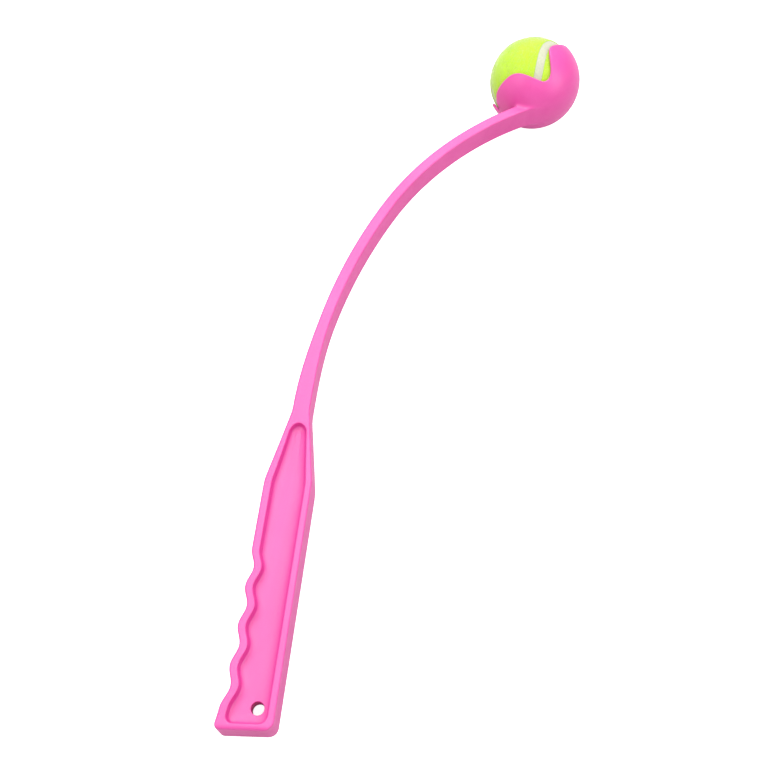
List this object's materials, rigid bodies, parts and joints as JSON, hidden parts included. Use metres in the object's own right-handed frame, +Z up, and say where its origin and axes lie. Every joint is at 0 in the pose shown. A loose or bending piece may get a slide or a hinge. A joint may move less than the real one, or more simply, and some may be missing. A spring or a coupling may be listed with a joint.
{
  "type": "dog ball thrower",
  "caption": "One-piece moulded ball launcher with a grooved pocketed handle, a bowed bar shaft and a canted claw cup that holds a felt-covered rubber ball.",
  "frame": {"origin": "bottom centre of the bounding box of the thrower lying on its side, ball seated, with the floor at z = 0", "axes": "+Y from the butt up the handle to the cup, +X towards the side that the cup and the palm edge lie on, +Z up from the floor"},
  "size_m": [0.1864, 0.5212, 0.0676],
  "materials": {
    "launcher_plastic": "satin injection-moulded plastic, pink",
    "ball_felt": "brushed felt, yellow-green",
    "core_rubber": "matt moulded rubber",
    "seam_rubber": "matt rubber, off-white"
  },
  "bodies": {
    "launcher": {"launcher": "launcher_plastic"},
    "ball": {"ball_core_half_a": "core_rubber", "ball_core_half_b": "core_rubber", "felt_panel_a": "ball_felt", "felt_panel_b": "ball_felt", "ball_seam": "seam_rubber"}
  },
  "joints": [
    {"name": "ball_release", "type": "slide", "parent": "launcher", "child": "ball", "axis": [-0.6119, 0.7763, 0.1515], "range_m": [0, 0.08]}
  ]
}
